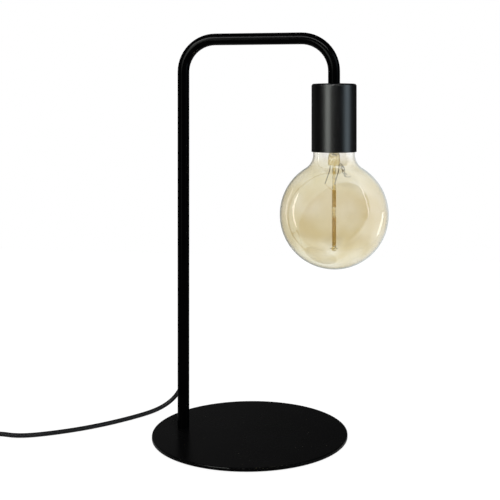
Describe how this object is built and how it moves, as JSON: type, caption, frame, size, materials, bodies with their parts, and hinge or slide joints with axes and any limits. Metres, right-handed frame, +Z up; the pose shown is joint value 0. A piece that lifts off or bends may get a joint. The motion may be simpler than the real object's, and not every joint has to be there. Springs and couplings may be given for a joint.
{
  "type": "table lamp",
  "caption": "Table lamp with a round steel base, a bent tube for a stand, a straight cover round its lamp holder, a clear amber globe bulb, and a lead with a rocker switch and a flat plug.",
  "frame": {"origin": "middle of the underside of the base's pad, on the surface that the lamp stands on", "axes": "+Z up; +X from the upright of the tube to the bulb; +Y to the back, where the lead comes out"},
  "size_m": [0.4878, 0.1838, 0.3577],
  "materials": {
    "black_paint": "satin powder coat",
    "foam": "closed-cell foam",
    "zinc": "zinc plated",
    "black_rubber": "moulded, matt",
    "black_lead": "smooth sheath, satin",
    "core_sleeve": "brown and blue insulation",
    "holder_plastic": "matt",
    "ceramic": "unglazed ceramic",
    "brass": "bare",
    "amber_glass": "clear amber",
    "stem_glass": "clear",
    "nickel_wire": "drawn",
    "filament_wire": "wound wire",
    "cap_brass": "rolled",
    "black_glass": "glossy",
    "solder": "dull",
    "tie_fabric": "woven",
    "switch_plastic": "satin",
    "rocker_plastic": "satin",
    "plug_plastic": "fine grain",
    "pin_metal": "nickel plated"
  },
  "bodies": {
    "lamp": {"base_plate": "black_paint", "stem_tube": "black_paint", "socket_cover": "black_paint", "base_pad": "foam", "base_screw": "zinc", "foot_plug": "zinc", "lock_washer": "zinc", "lock_nut": "zinc", "cord_relief": "black_rubber", "inner_lead": "black_lead", "lead_cores": "core_sleeve", "holder_cap": "holder_plastic", "holder_body": "holder_plastic", "terminal_block": "ceramic", "screw_shell": "brass", "centre_contact": "brass", "terminal_screws": "brass", "cord_to_switch": "black_lead", "cord_to_coil": "black_lead", "cord_coil": "black_lead", "cord_to_plug": "black_lead", "coil_ties": "tie_fabric", "switch_base": "switch_plastic", "switch_cover": "switch_plastic", "switch_axle": "zinc", "switch_contacts": "brass", "switch_screws": "zinc", "plug_boot": "plug_plastic", "plug_body": "plug_plastic", "plug_pins": "pin_metal"},
    "bulb_contact": {"bulb_tip_contact": "solder"},
    "bulb": {"bulb_glass": "amber_glass", "bulb_stem": "stem_glass", "bulb_lead_wires": "nickel_wire", "bulb_filament": "filament_wire", "bulb_supports": "nickel_wire", "bulb_cap": "cap_brass", "bulb_cap_insulator": "black_glass"},
    "rocker": {"switch_rocker": "rocker_plastic"}
  },
  "joints": [
    {"name": "bulb_travel", "type": "slide", "parent": "lamp", "child": "bulb_contact", "axis": [0, 0, -1], "range_m": [0, 0.0182]},
    {"name": "bulb_turn", "type": "hinge", "parent": "bulb_contact", "child": "bulb", "pos_m": [0.075, 0, 0.25], "axis": [0, 0, -1], "range_deg": [0, 1800]},
    {"name": "rocker_tilt", "type": "hinge", "parent": "lamp", "child": "rocker", "pos_m": [-0.257, -0.06425, 0.013], "axis": [0.3584, -0.9336, 0], "range_deg": [0, 20]}
  ],
  "couplings": [
    {"joint": "bulb_travel", "follows": "bulb_turn", "m_per_rad": 0.00057757}
  ]
}
